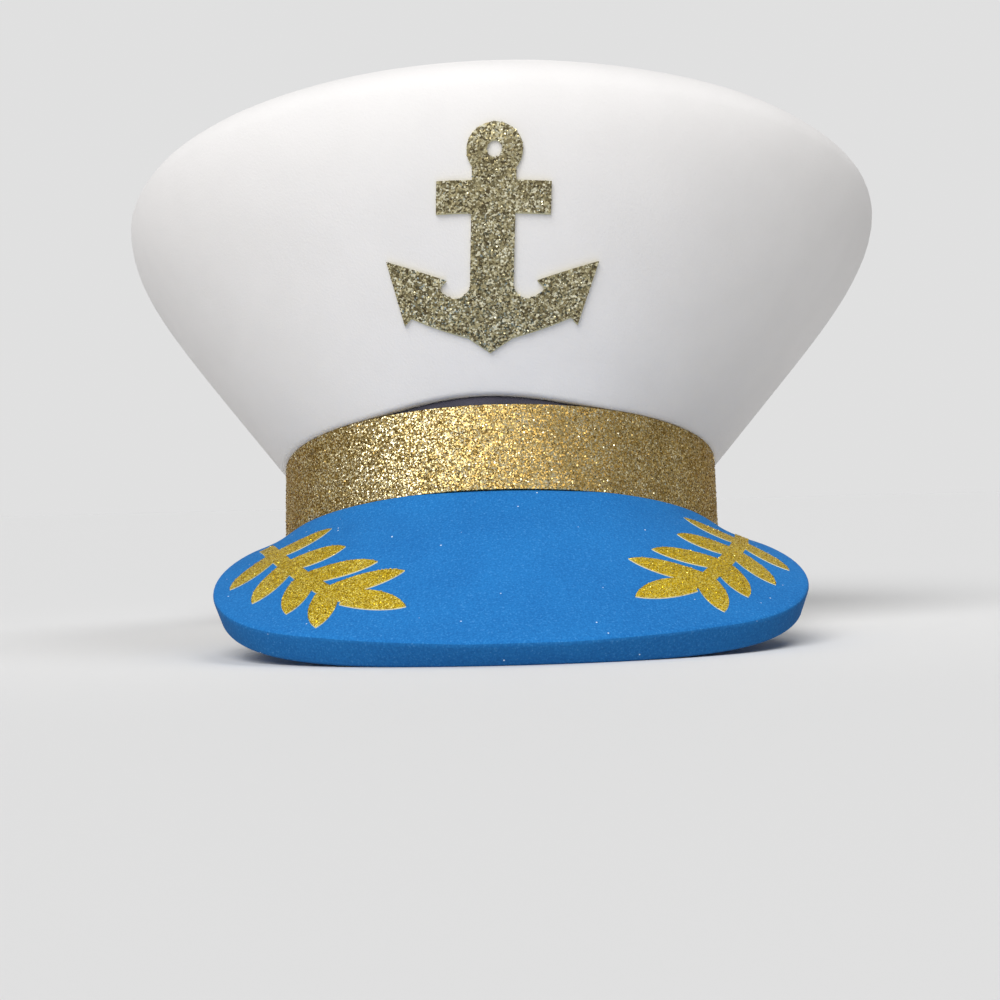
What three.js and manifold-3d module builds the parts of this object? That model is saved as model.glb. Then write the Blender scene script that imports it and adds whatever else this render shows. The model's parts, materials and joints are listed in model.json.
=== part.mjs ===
// Captain hat of soft foam sheet, as it rests on a table: on the visor's front edge and the head ring's rear rim.
// Millimetres. The hat is built level, with the ring's rim on z = 0 and the visor towards -Y, and is tipped
// back on to its two resting places at the end.

import * as THREE from 'three';
import { mergeVertices } from 'three/addons/utils/BufferGeometryUtils.js';
import Module from 'manifold-3d';

const wasm = await Module();
wasm.setup();

// The sheets it is cut from, and the glue line that stays open between two pieces
const FOAM = 12.7;
const BAND_FOAM = 2;
const TRIM_FOAM = 1.3;
const GLUE_GAP = 0.3;

// Head ring: the opening for the head
const HEAD_WIDTH = 181;
const HEAD_DEPTH = 205;

// Gold band round the ring
const BAND_LIFT = 16;
const BAND_HEIGHT = 38.3;

// The crown's lower edge rises a little over the brow, where the ring shows
const BROW_RISE = 4.5;
const BROW_SPREAD_DEG = 32;
const BROW_TURN_DEG = -4;

// Crown: a wall that flares out to its widest and rolls over to a low domed top
const CROWN_OVERHANG = 1;
const CROWN_WIDTH = 372;
const FLARE_HEIGHT = 118.4;
const FLARE_SPRING = 1.21;
const ROLL_WIDTH = 70;
const ROLL_HEIGHT = 30;
const TOP_SEAM_DEG = 35;
const DOME_RISE = 4;
const CROWN_LEAN = 3.7;

// Visor: a crescent that slopes down steeply in front and lies flatter at the temples
const VISOR_LENGTH = 103.7;
const HORN_LENGTH = 11;
const VISOR_SPREAD_DEG = 78;
const VISOR_TURN_DEG = 2;
const VISOR_FAN = 0.7;
const VISOR_BLUNTNESS = 6;
const VISOR_TAPER = 1.57;
const VISOR_SLOPE_DEG = 48.8;
const TEMPLE_SLOPE_DEG = 20.3;
const TEMPLE_EASE = 2.25;
const VISOR_DROOP_DEG = 1;
const VISOR_EDGE = 3.5;
const VISOR_UNDERCUT = 6.5;

// Anchor cut from glitter foam, on the crown's front
const ANCHOR_WIDTH = 91.2;
const ANCHOR_HEIGHT = 83.3;
const ANCHOR_FOOT = 73.7;
const ANCHOR_OFFSET = -2.7;
const ANCHOR_TURN_DEG = 1.4;
const SHANK_WIDTH = 18.6;
const STOCK_WIDTH = 48.6;
const STOCK_HEIGHT = 11.6;
const STOCK_DROP = 21.4;
const EYE_WIDTH = 23.6;
const EYE_HEIGHT = 20.4;
const EYE_DROP = 10;
const EYE_HOLE_WIDTH = 6.8;

// One arm of the anchor from the foot to the shank: across is a share of half the anchor's width, up of its height
const ANCHOR_ARM = [
  { corner: 'keel', across: 0.213, up: 0.066 },
  { corner: 'lower notch', across: 0.757, up: 0.166 },
  { corner: 'lower barb', across: 0.822, up: 0.136 },
  { corner: 'tip', across: 1, up: 0.417 },
  { corner: 'inner barb', across: 0.428, up: 0.316 },
  { corner: 'inner notch', across: 0.504, up: 0.283 },
];
const ARM_TROUGH = { across: 0.33, up: 0.19 };
const ARM_ROOT_UP = 0.279;
const KEEL_BELLY = { across: 0.5, up: 0.104 };

// Leaf branch cut from glitter foam, one on each side of the visor
const LEAF_WIDTH = 11.5;
// A leaf's edge from stem to tip is one curve through these shares of the leaf's length and width
const LEAF_FOOT = { along: 0, across: 0.4 };
const LEAF_RISE = { along: 0.42, across: 0.6 };
const LEAF_FALL = { along: 0.8, across: 0.42 };
const STEM_WIDTH = 5;
const STEM_TAIL_SHARE = 0.6;
// How each branch is glued on: turned to the side, with its inner tips further down the visor
const BRANCH_PLACING = { left: { turnDeg: 0.9, innerDrop: 0.035 }, right: { turnDeg: 1.3, innerDrop: 0 } };

// Leaf pairs from the stem's foot: shares of the visor's half spread and of its length, at stem and at the two tips
const LEAF_PAIRS = [
  { turn: 0.731, down: 0.43, innerTurn: 0.577, innerDown: 0.145, outerTurn: 0.735, outerDown: 0.82 },
  { turn: 0.628, down: 0.49, innerTurn: 0.472, innerDown: 0.315, outerTurn: 0.627, outerDown: 0.815 },
  { turn: 0.536, down: 0.575, innerTurn: 0.353, innerDown: 0.44, outerTurn: 0.518, outerDown: 0.835 },
  { turn: 0.449, down: 0.67, innerTurn: 0.274, innerDown: 0.52, outerTurn: 0.431, outerDown: 0.905 },
];
const STEM_FOOT = { turn: 0.85, down: 0.44 };
const LAST_LEAF = { turn: 0.397, down: 0.7, tipTurn: 0.249, tipDown: 0.765 };

// Facets
const ROUND_STEPS = 72;
const VISOR_STEPS = 44;
const VISOR_ROWS = 4;
const WALL_ROWS = 10;
const ROLL_ROWS = 3;
const TOP_ROWS = 3;
const CURVE_STEPS = 8;
const LEAF_STEPS = 6;
const WELD = 1e-4;

const radians = THREE.MathUtils.degToRad;
const lerp = THREE.MathUtils.lerp;

const RING_INSIDE = { x: HEAD_WIDTH / 2, y: HEAD_DEPTH / 2 };
const RING_OUTSIDE = { x: RING_INSIDE.x + FOAM, y: RING_INSIDE.y + FOAM };
const BAND_INSIDE = { x: RING_OUTSIDE.x + GLUE_GAP, y: RING_OUTSIDE.y + GLUE_GAP };
const BAND_OUTSIDE = { x: BAND_INSIDE.x + BAND_FOAM, y: BAND_INSIDE.y + BAND_FOAM };
const BAND_TOP = BAND_LIFT + BAND_HEIGHT;

// Turns are angles about the hat's axis, 0 at the front and positive towards +X
function onEllipse(half, turn, z) {
  return new THREE.Vector3(half.x * Math.sin(turn), -half.y * Math.cos(turn), z);
}

function turns(steps) {
  return Array.from({ length: steps }, (_, i) => (i / steps) * 2 * Math.PI);
}

function shares(steps) {
  return Array.from({ length: steps + 1 }, (_, i) => i / steps);
}

// Skin over rings of points, each ring a closed outline with as many points as the next. A whole round joins its
// last ring to its first, and an open row gets flat ends. Triangles that shrink to a line are left out.
function skinned(rings, wholeRound) {
  const count = rings[0].length;
  const positions = rings.flat().flatMap((p) => p.toArray());
  const triangles = [];
  const spans = wholeRound ? rings.length : rings.length - 1;
  for (let i = 0; i < spans; i++) {
    const here = i * count;
    const next = ((i + 1) % rings.length) * count;
    for (let j = 0; j < count; j++) {
      const k = (j + 1) % count;
      triangles.push([here + j, next + j, next + k], [here + j, next + k, here + k]);
    }
  }
  if (!wholeRound) {
    const last = (rings.length - 1) * count;
    triangles.push(...endFaces(count), ...endFaces(count).map(([a, b, c]) => [last + a, last + c, last + b]));
  }
  return closedGeometry(positions, triangles);
}

// Flat end of an open row: the first half of its ring runs out, the second half runs back beside it
function endFaces(count) {
  return shares(count / 2 - 1)
    .slice(1)
    .flatMap((_, j) => [
      [j, j + 1, count - 2 - j],
      [j, count - 2 - j, count - 1 - j],
    ]);
}

function closedGeometry(positions, triangles) {
  const raw = new THREE.BufferGeometry();
  raw.setAttribute('position', new THREE.Float32BufferAttribute(positions, 3));
  raw.setIndex(triangles.flat());
  const merged = mergeVertices(raw, WELD);
  const index = merged.getIndex().array;
  const kept = [];
  for (let i = 0; i < index.length; i += 3) {
    const [a, b, c] = [index[i], index[i + 1], index[i + 2]];
    if (a !== b && b !== c && c !== a) kept.push(a, b, c);
  }
  if (signedVolume(merged.getAttribute('position'), kept) < 0) kept.reverse();
  merged.setIndex(kept);
  return merged;
}

function signedVolume(position, index) {
  const [a, b, c] = [new THREE.Vector3(), new THREE.Vector3(), new THREE.Vector3()];
  let volume = 0;
  for (let i = 0; i < index.length; i += 3) {
    a.fromBufferAttribute(position, index[i]);
    b.fromBufferAttribute(position, index[i + 1]);
    c.fromBufferAttribute(position, index[i + 2]);
    volume += a.dot(b.cross(c)) / 6;
  }
  return volume;
}

function toSolid(geometry) {
  const bare = new THREE.BufferGeometry();
  bare.setAttribute('position', geometry.getAttribute('position'));
  if (geometry.getIndex()) bare.setIndex(geometry.getIndex());
  const merged = mergeVertices(bare, WELD);
  const mesh = new wasm.Mesh({
    numProp: 3,
    vertProperties: new Float32Array(merged.getAttribute('position').array),
    triVerts: new Uint32Array(merged.getIndex().array),
  });
  return new wasm.Manifold(mesh);
}

function toGeometry(solid) {
  const { vertProperties, triVerts } = solid.getMesh();
  const geometry = new THREE.BufferGeometry();
  geometry.setAttribute('position', new THREE.Float32BufferAttribute(vertProperties, 3));
  geometry.setIndex(Array.from(triVerts));
  return geometry;
}

function piece(name, geometry, color, roughness, metalness) {
  geometry.computeVertexNormals();
  const mesh = new THREE.Mesh(geometry, new THREE.MeshStandardMaterial({ color, roughness, metalness }));
  mesh.name = name;
  return mesh;
}

// Height of the seam between head ring and crown
function seamHeight(turn) {
  const signed = Math.atan2(Math.sin(turn), Math.cos(turn)) - radians(BROW_TURN_DEG);
  const share = Math.min(Math.abs(signed) / radians(BROW_SPREAD_DEG), 1);
  return BAND_TOP + BROW_RISE * Math.cos((share * Math.PI) / 2) ** 2;
}

// Head ring: a strip of foam round the head
function headRing() {
  const rings = turns(ROUND_STEPS).map((turn) => [
    onEllipse(RING_OUTSIDE, turn, 0),
    onEllipse(RING_OUTSIDE, turn, seamHeight(turn)),
    onEllipse(RING_INSIDE, turn, seamHeight(turn)),
    onEllipse(RING_INSIDE, turn, 0),
  ]);
  return skinned(rings, true);
}

// Gold band: a thin strip glued round the ring
function goldBand() {
  const rings = turns(ROUND_STEPS).map((turn) => [
    onEllipse(BAND_OUTSIDE, turn, BAND_LIFT),
    onEllipse(BAND_OUTSIDE, turn, BAND_TOP),
    onEllipse(BAND_INSIDE, turn, BAND_TOP),
    onEllipse(BAND_INSIDE, turn, BAND_LIFT),
  ]);
  return skinned(rings, true);
}

// The crown's skin on one meridian. Station 0 to 1 is the flaring wall, 1 to 2 the roll, 2 to 3 the top.
const CROWN_HALF = CROWN_WIDTH / 2;
const FLARE_CURL = FLARE_SPRING / (FLARE_SPRING - 1);
const CROWN_FOOT_Z = BAND_TOP + GLUE_GAP;
const WIDEST_Z = CROWN_FOOT_Z + FLARE_HEIGHT;

function crownReach(station) {
  if (station <= 1) {
    const out = FLARE_SPRING * station - (FLARE_SPRING - 1) * station ** FLARE_CURL;
    return {
      x: lerp(BAND_OUTSIDE.x + CROWN_OVERHANG, CROWN_HALF, out),
      y: lerp(BAND_OUTSIDE.y + CROWN_OVERHANG, CROWN_HALF, out),
    };
  }
  if (station <= 2) {
    const reach = CROWN_HALF - ROLL_WIDTH * (1 - Math.cos(((station - 1) * Math.PI) / 2));
    return { x: reach, y: reach };
  }
  const reach = (CROWN_HALF - ROLL_WIDTH) * (3 - station);
  return { x: reach, y: reach };
}

function crownHeight(station, turn) {
  if (station <= 1) {
    const foot = seamHeight(turn) + GLUE_GAP;
    return lerp(lerp(foot, CROWN_FOOT_Z, station), WIDEST_Z, station);
  }
  if (station <= 2) return WIDEST_Z + ROLL_HEIGHT * Math.sin(((station - 1) * Math.PI) / 2);
  return WIDEST_Z + ROLL_HEIGHT + DOME_RISE * (1 - (3 - station) ** 2) ** 2;
}

// The soft crown leans a little to one side, fully from its widest up
function crownLean(z) {
  return CROWN_LEAN * THREE.MathUtils.clamp((z - CROWN_FOOT_Z) / FLARE_HEIGHT, 0, 1);
}

// A point at some depth under the skin, level with it on the wall and square to it from the roll on
function crownPoint(turn, station, depth) {
  const meridian = (s) => {
    const p = onEllipse(crownReach(s), turn, 0);
    return new THREE.Vector2(Math.hypot(p.x, p.y), crownHeight(s, turn));
  };
  const step = 1e-4;
  const side = station <= 1 ? -1 : 1;
  const from = side < 0 ? Math.max(station - step, 0) : station - step;
  const along = meridian(Math.min(from + step, 3)).sub(meridian(from)).normalize();
  const outward = new THREE.Vector2(along.y, -along.x);
  const skin = onEllipse(crownReach(station), turn, 0);
  const reach = Math.hypot(skin.x, skin.y);
  const onWall = station <= 1;
  const inset = onWall ? depth / outward.x : depth * outward.x;
  const drop = onWall ? 0 : depth * outward.y;
  const z = crownHeight(station, turn) - drop;
  const scale = reach > 0 ? (reach - inset) / reach : 0;
  return new THREE.Vector3(skin.x * scale + crownLean(z), skin.y * scale, z);
}

// The side and the top meet in a glued seam on the roll
const TOP_SEAM = 1 + TOP_SEAM_DEG / 90;
const SEAM_PACE = Math.hypot(
  ROLL_WIDTH * Math.sin(radians(TOP_SEAM_DEG)),
  ROLL_HEIGHT * Math.cos(radians(TOP_SEAM_DEG)),
);
const SEAM_HALF_GAP = GLUE_GAP / 2 / (SEAM_PACE * (Math.PI / 2));

function crownSide() {
  const wall = shares(WALL_ROWS);
  const roll = shares(ROLL_ROWS).slice(1).map((s) => lerp(1, TOP_SEAM - SEAM_HALF_GAP, s));
  const stations = [...wall, ...roll];
  const rings = turns(ROUND_STEPS).map((turn) => [
    ...stations.map((station) => crownPoint(turn, station, 0)),
    ...stations.toReversed().map((station) => crownPoint(turn, station, FOAM)),
  ]);
  return skinned(rings, true);
}

function crownTop() {
  const roll = shares(ROLL_ROWS).map((s) => lerp(TOP_SEAM + SEAM_HALF_GAP, 2, s));
  const top = shares(TOP_ROWS).slice(1).map((s) => 2 + s);
  const stations = [...roll, ...top];
  const rings = turns(ROUND_STEPS).map((turn) => [
    ...stations.map((station) => crownPoint(turn, station, 0)),
    ...stations.toReversed().map((station) => crownPoint(turn, station, FOAM)),
  ]);
  return skinned(rings, true);
}

// The visor's own turn is 0 at its middle. Along runs down its slope from the ring, depth square into the sheet.
function visorFrame(turn) {
  const share = Math.min(Math.abs(turn) / radians(VISOR_SPREAD_DEG), 1);
  const body = (1 - share ** VISOR_BLUNTNESS) ** VISOR_TAPER;
  const length = lerp(HORN_LENGTH, VISOR_LENGTH, body);
  const slopeDeg = lerp(VISOR_SLOPE_DEG, TEMPLE_SLOPE_DEG, share ** TEMPLE_EASE) - VISOR_DROOP_DEG * Math.sin(turn);
  const slope = radians(slopeDeg);
  const heading = VISOR_FAN * turn + radians(VISOR_TURN_DEG);
  const root = onEllipse(BAND_INSIDE, turn + radians(VISOR_TURN_DEG), BAND_LIFT - GLUE_GAP);
  const away = new THREE.Vector3(Math.sin(heading), -Math.cos(heading), 0);
  const down = away.clone().multiplyScalar(Math.cos(slope)).setZ(-Math.sin(slope));
  const up = away.clone().multiplyScalar(Math.sin(slope)).setZ(Math.cos(slope));
  const undercut = VISOR_UNDERCUT * share ** 2 * body;
  return { length, undercut, slope, root, down, up };
}

function visorPoint(frame, along, depth) {
  return frame.root.clone().addScaledVector(frame.down, along).addScaledVector(frame.up, -depth);
}

function visorTurns() {
  return shares(VISOR_STEPS).map((s) => radians(VISOR_SPREAD_DEG) * (2 * s - 1));
}

// The cut edge is soft, and leans in under the sheet on both sides of the visor
function visor() {
  const soft = VISOR_EDGE;
  const corner = soft * (1 - Math.SQRT1_2);
  const rows = shares(VISOR_ROWS);
  const rings = visorTurns().map((turn) => {
    const frame = visorFrame(turn);
    const flat = frame.length - soft;
    const underRoot = frame.root.clone().setZ(frame.root.z - FOAM / Math.cos(frame.slope));
    const underEdge = frame.length - frame.undercut;
    const underFlat = visorPoint(frame, underEdge - soft, FOAM);
    return [
      ...rows.map((s) => visorPoint(frame, flat * s, 0)),
      visorPoint(frame, frame.length - corner, corner),
      visorPoint(frame, frame.length, soft),
      visorPoint(frame, underEdge, FOAM - soft),
      visorPoint(frame, underEdge - corner, FOAM - corner),
      ...rows.toReversed().map((s) => underRoot.clone().lerp(underFlat, s)),
    ];
  });
  return skinned(rings, false);
}

// A sheet of glitter foam that lies all over the crown's front, on the same facets, and one all over the visor
function crownSheet() {
  const back = -GLUE_GAP;
  const face = back - TRIM_FOAM;
  const reach = Math.ceil(ROUND_STEPS / 8);
  const sheetTurns = Array.from({ length: 2 * reach + 1 }, (_, i) => ((i - reach) / ROUND_STEPS) * 2 * Math.PI);
  const stations = shares(WALL_ROWS);
  const rings = sheetTurns.map((turn) => [
    ...stations.map((station) => crownPoint(turn, station, back)),
    ...stations.toReversed().map((station) => crownPoint(turn, station, face)),
  ]);
  return toSolid(skinned(rings, false));
}

function visorSheet() {
  const back = -GLUE_GAP;
  const face = back - TRIM_FOAM;
  const rows = shares(VISOR_ROWS);
  const rings = visorTurns().map((turn) => {
    const frame = visorFrame(turn);
    const flat = frame.length - VISOR_EDGE;
    return [
      ...rows.map((s) => visorPoint(frame, flat * s, back)),
      ...rows.toReversed().map((s) => visorPoint(frame, flat * s, face)),
    ];
  });
  return toSolid(skinned(rings, false));
}

// A cutter with an upright outline, x across and y up, that runs forward from the hat's axis
function forwardCutter(shape) {
  const length = 2 * CROWN_WIDTH;
  const cutter = new THREE.ExtrudeGeometry(shape, { depth: length, bevelEnabled: false, curveSegments: CURVE_STEPS });
  cutter.rotateX(Math.PI / 2);
  return toSolid(cutter);
}

// A cutter with an outline in plan that runs from far below to far above
function uprightCutter(shape) {
  const length = 2 * CROWN_WIDTH;
  const cutter = new THREE.ExtrudeGeometry(shape, { depth: length, bevelEnabled: false, curveSegments: LEAF_STEPS });
  cutter.translate(0, 0, -length / 2);
  return toSolid(cutter);
}

// The anchor leans with the crown, and is turned a little about its middle
function anchorPlace(across, up) {
  const turn = radians(ANCHOR_TURN_DEG);
  const half = ANCHOR_HEIGHT / 2;
  const x = across * Math.cos(turn) + (up - half) * Math.sin(turn);
  const z = ANCHOR_FOOT + half + (up - half) * Math.cos(turn) - across * Math.sin(turn);
  return [ANCHOR_OFFSET + x + crownLean(z), z];
}

function anchorBox(width, low, high) {
  const shape = new THREE.Shape();
  shape.moveTo(...anchorPlace(-width / 2, low));
  shape.lineTo(...anchorPlace(width / 2, low));
  shape.lineTo(...anchorPlace(width / 2, high));
  shape.lineTo(...anchorPlace(-width / 2, high));
  return shape;
}

function anchorArms() {
  const half = ANCHOR_WIDTH / 2;
  const place = (side, { across, up }) => anchorPlace(side * half * across, ANCHOR_HEIGHT * up);
  const root = { across: SHANK_WIDTH / ANCHOR_WIDTH, up: ARM_ROOT_UP };
  const [keel, lowerNotch, ...fluke] = ANCHOR_ARM;
  const shape = new THREE.Shape();
  shape.moveTo(...anchorPlace(0, 0));
  shape.lineTo(...place(1, keel));
  shape.quadraticCurveTo(...place(1, KEEL_BELLY), ...place(1, lowerNotch));
  for (const corner of fluke) shape.lineTo(...place(1, corner));
  shape.quadraticCurveTo(...place(1, ARM_TROUGH), ...place(1, root));
  shape.lineTo(...place(-1, root));
  shape.quadraticCurveTo(...place(-1, ARM_TROUGH), ...place(-1, fluke[fluke.length - 1]));
  for (const corner of fluke.slice(0, -1).toReversed()) shape.lineTo(...place(-1, corner));
  shape.lineTo(...place(-1, lowerNotch));
  shape.quadraticCurveTo(...place(-1, KEEL_BELLY), ...place(-1, keel));
  return shape;
}

function anchorEye(width, height) {
  const [x, z] = anchorPlace(0, ANCHOR_HEIGHT - EYE_DROP);
  const shape = new THREE.Shape();
  shape.absellipse(x, z, width / 2, height / 2, 0, 2 * Math.PI, false);
  return shape;
}

function anchor() {
  const eye = ANCHOR_HEIGHT - EYE_DROP;
  const shank = anchorBox(SHANK_WIDTH, ANCHOR_HEIGHT * ARM_ROOT_UP / 2, eye);
  const stock = anchorBox(STOCK_WIDTH, ANCHOR_HEIGHT - STOCK_DROP - STOCK_HEIGHT, ANCHOR_HEIGHT - STOCK_DROP);
  const outline = forwardCutter(anchorArms())
    .add(forwardCutter(shank))
    .add(forwardCutter(stock))
    .add(forwardCutter(anchorEye(EYE_WIDTH, EYE_HEIGHT)))
    .subtract(forwardCutter(anchorEye(EYE_HOLE_WIDTH, EYE_HOLE_WIDTH)));
  return toGeometry(crownSheet().intersect(outline));
}

// One leaf lies on the visor between two places of it. It leaves the stem broad and ends in a point
function leaf(base, tip) {
  const along = tip.point.clone().sub(base.point);
  const across = new THREE.Vector3().crossVectors(base.up, along).setLength(LEAF_WIDTH);
  const place = (share, side) =>
    base.point.clone().addScaledVector(along, share.along).addScaledVector(across, side * share.across);
  const [rightFoot, rightRise, rightFall] = [LEAF_FOOT, LEAF_RISE, LEAF_FALL].map((share) => place(share, -1));
  const [leftFoot, leftRise, leftFall] = [LEAF_FOOT, LEAF_RISE, LEAF_FALL].map((share) => place(share, 1));
  const shape = new THREE.Shape();
  shape.moveTo(rightFoot.x, rightFoot.y);
  shape.bezierCurveTo(rightRise.x, rightRise.y, rightFall.x, rightFall.y, tip.point.x, tip.point.y);
  shape.bezierCurveTo(leftFall.x, leftFall.y, leftRise.x, leftRise.y, leftFoot.x, leftFoot.y);
  shape.closePath();
  return shape;
}

function stem(places) {
  const offset = places.map(({ point, up }, i) => {
    const next = places[Math.min(i + 1, places.length - 1)].point;
    const last = places[Math.max(i - 1, 0)].point;
    return new THREE.Vector3().crossVectors(up, next.clone().sub(last)).setLength(STEM_WIDTH / 2);
  });
  const left = places.map(({ point }, i) => point.clone().add(offset[i]));
  const right = places.map(({ point }, i) => point.clone().sub(offset[i]));
  return new THREE.Shape([...left, ...right.toReversed()].map((p) => new THREE.Vector2(p.x, p.y)));
}

// Side is 1 towards +X and -1 towards -X
function leafBranch(side, placing) {
  const place = (turnShare, down) => {
    const frame = visorFrame(side * radians(VISOR_SPREAD_DEG) * turnShare + radians(placing.turnDeg));
    return { point: visorPoint(frame, frame.length * down, 0), up: frame.up };
  };
  const lastBase = place(LAST_LEAF.turn, LAST_LEAF.down);
  const bases = LEAF_PAIRS.map((pair) => place(pair.turn, pair.down));
  const leaves = LEAF_PAIRS.flatMap((pair, i) => [
    leaf(bases[i], place(pair.innerTurn, pair.innerDown + placing.innerDrop)),
    leaf(bases[i], place(pair.outerTurn, pair.outerDown)),
  ]);
  leaves.push(leaf(lastBase, place(LAST_LEAF.tipTurn, LAST_LEAF.tipDown)));
  const tipwards = LEAF_PAIRS.length - 1;
  const lastOnStem = { point: lastBase.point.clone().lerp(bases[tipwards].point, -STEM_TAIL_SHARE), up: lastBase.up };
  const spine = stem([place(STEM_FOOT.turn, STEM_FOOT.down), ...bases, lastBase, lastOnStem]);
  const outline = leaves.map(uprightCutter).reduce((whole, one) => whole.add(one), uprightCutter(spine));
  return toGeometry(visorSheet().intersect(outline));
}

const hat = new THREE.Group();
hat.add(
  piece('head_ring', headRing(), 0x2b2d3a, 0.9, 0),
  piece('gold_band', goldBand(), 0xa38a52, 0.45, 0.5),
  piece('crown_side', crownSide(), 0xf1f1ef, 0.9, 0),
  piece('crown_top', crownTop(), 0xf4f4f2, 0.9, 0),
  piece('visor', visor(), 0x2b7cc4, 0.85, 0),
  piece('anchor', anchor(), 0x8f8049, 0.45, 0.5),
  piece('leaf_branch_left', leafBranch(-1, BRANCH_PLACING.left), 0xc79a22, 0.45, 0.5),
  piece('leaf_branch_right', leafBranch(1, BRANCH_PLACING.right), 0xc79a22, 0.45, 0.5),
);

// Tip the hat back about the ring's rear rim until the visor's lowest edge comes down to the same level
function restingTilt() {
  const edge = hat.getObjectByName('visor').geometry.getAttribute('position');
  let tilt = 0;
  for (let i = 0; i < edge.count; i++) {
    tilt = Math.max(tilt, Math.atan2(-edge.getZ(i), RING_OUTSIDE.y - edge.getY(i)));
  }
  return tilt;
}

hat.rotation.x = -restingTilt();
hat.updateMatrixWorld(true);
const extent = new THREE.Box3().setFromObject(hat, true);
const middle = extent.getCenter(new THREE.Vector3());
hat.position.set(-middle.x, -middle.y, -extent.min.z);

const root = new THREE.Group();
root.add(hat);
export default root;
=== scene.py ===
import json
import math
import random

import bpy
from mathutils import Matrix, Vector, geometry, noise


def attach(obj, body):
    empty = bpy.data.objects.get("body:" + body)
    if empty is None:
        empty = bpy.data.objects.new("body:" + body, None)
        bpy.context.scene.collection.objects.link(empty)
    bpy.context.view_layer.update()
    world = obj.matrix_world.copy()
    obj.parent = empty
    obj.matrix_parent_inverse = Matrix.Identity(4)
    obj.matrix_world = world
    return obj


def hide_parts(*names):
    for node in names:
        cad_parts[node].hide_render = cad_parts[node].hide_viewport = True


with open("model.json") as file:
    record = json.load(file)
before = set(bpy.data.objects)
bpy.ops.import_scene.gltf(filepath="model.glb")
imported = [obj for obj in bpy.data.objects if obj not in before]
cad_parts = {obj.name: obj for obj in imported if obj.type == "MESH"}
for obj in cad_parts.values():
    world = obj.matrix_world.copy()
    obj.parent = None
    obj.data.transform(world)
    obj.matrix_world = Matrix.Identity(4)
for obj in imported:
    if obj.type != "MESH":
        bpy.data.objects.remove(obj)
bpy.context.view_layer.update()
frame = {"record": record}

# How the hat lies. It is shaped level, with the ring's rim on z = 0 and the visor towards -Y, and is then tipped
# back on to the visor's front edge and the ring's rear rim, where the rim's mount says.
rim = next(mount for mount in frame["record"]["mounts"] if mount["name"] == "rim")
RIM_POINT = Vector((0.09685, 0, 0))
tilt = math.atan2(-rim["axis"][1], -rim["axis"][2])
lying = Matrix.Translation(Vector(rim["pos_m"]) - RIM_POINT) @ Matrix.Rotation(-tilt, 4, "X")
hat_middle = lying @ Vector((0, 0, 0))

# Camera: a long lens low in front of the hat, level, and rolled a little to the right.
CAMERA_DISTANCE = 0.95
CAMERA_HEIGHT = 0.065
CAMERA_ASIDE = -0.00055
CAMERA_ROLL = math.radians(1.45)
CAMERA_LENS = 69.77
SENSOR_WIDTH = 36
bpy.ops.object.select_all(action="DESELECT")
bpy.ops.object.camera_add(
    location=(hat_middle.x + CAMERA_ASIDE, hat_middle.y - CAMERA_DISTANCE, CAMERA_HEIGHT),
)
camera = bpy.context.active_object
camera.rotation_euler = (Matrix.Rotation(math.pi / 2, 3, "X") @ Matrix.Rotation(-CAMERA_ROLL, 3, "Z")).to_euler()
camera.data.sensor_width = SENSOR_WIDTH
camera.data.lens = CAMERA_LENS
bpy.context.scene.camera = camera

# Head ring: a strip of half-inch dark navy foam, bent round the head and glued end to end. It shows as a sliver
# above the band over the brow, and below the band at the back.
FOAM = 0.0127
GLUE_GAP = 0.0003
ROUND_STEPS = 144
HEAD_HALF = (0.0905, 0.1025)
BAND_LIFT = 0.016
BAND_TOP = 0.0543
BROW_RISE = 0.0045
BROW_SPREAD = math.radians(32)
BROW_TURN = math.radians(-4)
SHARP_TURN = math.radians(40)
CORNER_REACH = 0.45
CORNER_STEPS = 4
RING_CORNER = 0.0015
RING_ROWS = (0, 0.1, 0.3, 0.5, 0.7, 0.9, 1)
RING_TOP_SHARE = 0.95
CLOUD_SCALE = 38
PORE_SCALE = 950
NAVY_PORES = 0.0003


def wider(half, by):
    return (half[0] + by, half[1] + by)


def brow_rise(x, y):
    """How much the seam between ring and crown is lifted on that side of the hat."""
    share = min(abs(math.atan2(x, -y) - BROW_TURN) / BROW_SPREAD, 1)
    return BROW_RISE * math.cos(share * math.pi / 2) ** 2


def softened(outline, radius, closed=True):
    """The outline with its sharp corners rounded, each within its share of the two edges beside it."""
    eased = []
    count = len(outline)
    for i, corner in enumerate(outline):
        before, after = outline[i - 1] - corner, outline[(i + 1) % count] - corner
        is_end = not closed and i in (0, count - 1)
        if is_end or before.angle(-after, 0) < SHARP_TURN:
            eased.append(corner)
            continue
        start = corner + before.normalized() * min(radius, before.length * CORNER_REACH)
        end = corner + after.normalized() * min(radius, after.length * CORNER_REACH)
        for step in range(CORNER_STEPS + 1):
            share = step / CORNER_STEPS
            eased.append(start.lerp(corner, share).lerp(corner.lerp(end, share), share))
    return eased


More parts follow.
